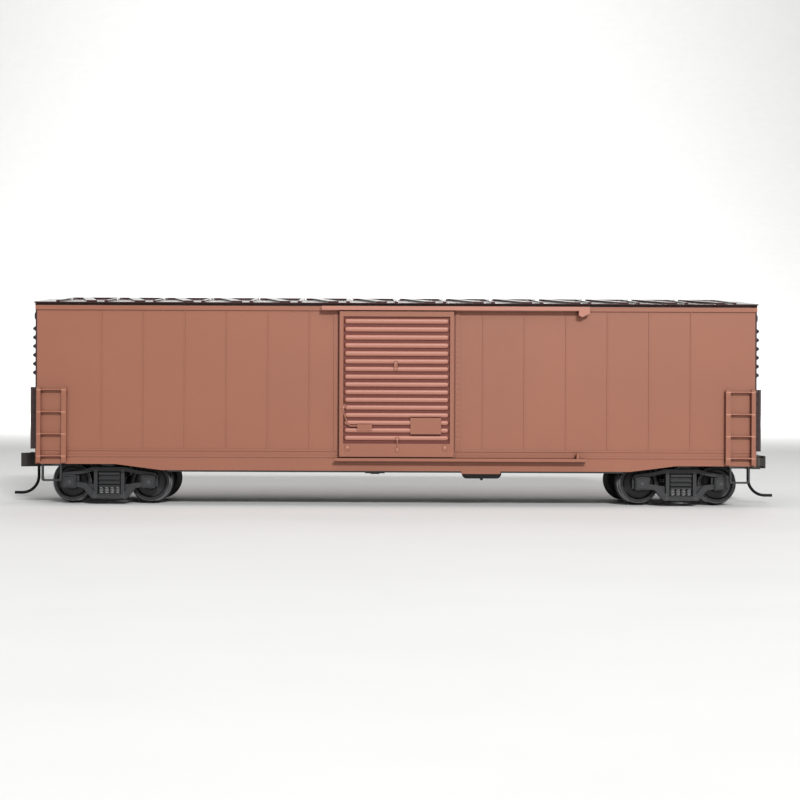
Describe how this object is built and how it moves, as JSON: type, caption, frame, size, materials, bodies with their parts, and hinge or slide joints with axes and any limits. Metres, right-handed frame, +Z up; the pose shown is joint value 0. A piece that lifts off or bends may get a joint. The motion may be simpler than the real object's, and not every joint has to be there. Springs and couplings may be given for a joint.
{
  "type": "model box car",
  "caption": "Model railway box car with corrugated sliding doors on tracks, swivelling trucks with turning wheelsets, and sprung knuckle couplers with wire trip pins.",
  "frame": {"origin": "centre of the car, at the bottom of the wheel flanges", "axes": "+X along the car towards the hand brake (B) end, +Y across towards the far side, +Z up; the near side faces -Y"},
  "size_m": [0.1962, 0.0368, 0.0525],
  "materials": {
    "body_oxide": "satin red oxide, coloured in the moulding",
    "roof_black": "satin brown-black paint over the roof and ends",
    "underbody_black": "satin black moulding",
    "truck_black": "matt black moulding, slightly greyed on its raised edges",
    "wheel_black": "satin black, tread polished",
    "coupler_brown": "matt brown black",
    "blackened_wire": "chemically blackened steel wire",
    "bare_steel": "plain steel",
    "spring_bronze": "phosphor bronze strip"
  },
  "bodies": {
    "car_body": {"a_centring_spring": "spring_bronze", "a_draft_box_lid": "underbody_black", "a_end_wall": "roof_black", "a_kingpin_screw": "bare_steel", "a_lid_screw": "bare_steel", "air_reservoir": "underbody_black", "b_centring_spring": "spring_bronze", "b_draft_box_lid": "underbody_black", "b_end_wall": "roof_black", "b_kingpin_screw": "bare_steel", "b_lid_screw": "bare_steel", "brake_cylinder": "underbody_black", "brake_housing": "roof_black", "brake_rod": "underbody_black", "control_valve": "underbody_black", "far_a_end_ladder": "roof_black", "far_a_side_ladder": "body_oxide", "far_a_stirrup_step": "truck_black", "far_b_end_ladder": "roof_black", "far_b_side_ladder": "body_oxide", "far_b_stirrup_step": "truck_black", "far_lower_track": "body_oxide", "far_side_wall": "body_oxide", "far_upper_track": "body_oxide", "floor": "underbody_black", "near_a_end_ladder": "roof_black", "near_a_side_ladder": "body_oxide", "near_a_stirrup_step": "truck_black", "near_b_end_ladder": "roof_black", "near_b_side_ladder": "body_oxide", "near_b_stirrup_step": "truck_black", "near_lower_track": "body_oxide", "near_side_wall": "body_oxide", "near_upper_track": "body_oxide", "roof": "roof_black", "steel_weight": "bare_steel", "underframe": "underbody_black"},
    "near_door": {"near_sliding_door": "body_oxide"},
    "far_door": {"far_sliding_door": "body_oxide"},
    "brake_wheel": {"brake_wheel": "roof_black"},
    "a_truck": {"a_truck_frame": "truck_black"},
    "a_coupler": {"a_coupler": "coupler_brown", "a_trip_pin": "blackened_wire"},
    "a_knuckle": {"a_knuckle": "coupler_brown"},
    "a_inner_wheelset": {"a_inner_axle": "wheel_black", "a_inner_near_wheel": "wheel_black", "a_inner_far_wheel": "wheel_black"},
    "a_outer_wheelset": {"a_outer_axle": "wheel_black", "a_outer_near_wheel": "wheel_black", "a_outer_far_wheel": "wheel_black"},
    "b_truck": {"b_truck_frame": "truck_black"},
    "b_coupler": {"b_coupler": "coupler_brown", "b_trip_pin": "blackened_wire"},
    "b_knuckle": {"b_knuckle": "coupler_brown"},
    "b_inner_wheelset": {"b_inner_axle": "wheel_black", "b_inner_near_wheel": "wheel_black", "b_inner_far_wheel": "wheel_black"},
    "b_outer_wheelset": {"b_outer_axle": "wheel_black", "b_outer_near_wheel": "wheel_black", "b_outer_far_wheel": "wheel_black"}
  },
  "joints": [
    {"name": "near_door_slide", "type": "slide", "parent": "car_body", "child": "near_door", "axis": [1, 0, 0], "range_m": [0, 0.0295]},
    {"name": "far_door_slide", "type": "slide", "parent": "car_body", "child": "far_door", "axis": [-1, 0, 0], "range_m": [0, 0.0295]},
    {"name": "brake_wheel_spin", "type": "hinge", "parent": "car_body", "child": "brake_wheel", "pos_m": [0.0912, 0.004, 0.027], "axis": [1, 0, 0], "continuous": true},
    {"name": "a_truck_swivel", "type": "hinge", "parent": "car_body", "child": "a_truck", "pos_m": [-0.071, 0, 0.0086], "axis": [0, 0, 1], "range_deg": [-15, 15]},
    {"name": "a_inner_wheelset_spin", "type": "hinge", "parent": "a_truck", "child": "a_inner_wheelset", "pos_m": [-0.0612, 0, 0.0055], "axis": [0, 1, 0], "continuous": true},
    {"name": "a_outer_wheelset_spin", "type": "hinge", "parent": "a_truck", "child": "a_outer_wheelset", "pos_m": [-0.0808, 0, 0.0055], "axis": [0, 1, 0], "continuous": true},
    {"name": "a_coupler_swing", "type": "hinge", "parent": "car_body", "child": "a_coupler", "pos_m": [-0.084, 0, 0.0106], "axis": [0, 0, 1], "range_deg": [-10, 10], "stiffness_Nm_per_rad": 0.001},
    {"name": "a_knuckle_open", "type": "hinge", "parent": "a_coupler", "child": "a_knuckle", "pos_m": [-0.0935, 0.0016, 0.0106], "axis": [0, 0, -1], "range_deg": [0, 35], "stiffness_Nm_per_rad": 0.00001},
    {"name": "b_truck_swivel", "type": "hinge", "parent": "car_body", "child": "b_truck", "pos_m": [0.071, 0, 0.0086], "axis": [0, 0, 1], "range_deg": [-15, 15]},
    {"name": "b_inner_wheelset_spin", "type": "hinge", "parent": "b_truck", "child": "b_inner_wheelset", "pos_m": [0.0612, 0, 0.0055], "axis": [0, 1, 0], "continuous": true},
    {"name": "b_outer_wheelset_spin", "type": "hinge", "parent": "b_truck", "child": "b_outer_wheelset", "pos_m": [0.0808, 0, 0.0055], "axis": [0, 1, 0], "continuous": true},
    {"name": "b_coupler_swing", "type": "hinge", "parent": "car_body", "child": "b_coupler", "pos_m": [0.084, 0, 0.0106], "axis": [0, 0, 1], "range_deg": [-10, 10], "stiffness_Nm_per_rad": 0.001},
    {"name": "b_knuckle_open", "type": "hinge", "parent": "b_coupler", "child": "b_knuckle", "pos_m": [0.0935, -0.0016, 0.0106], "axis": [0, 0, -1], "range_deg": [0, 35], "stiffness_Nm_per_rad": 0.00001}
  ]
}
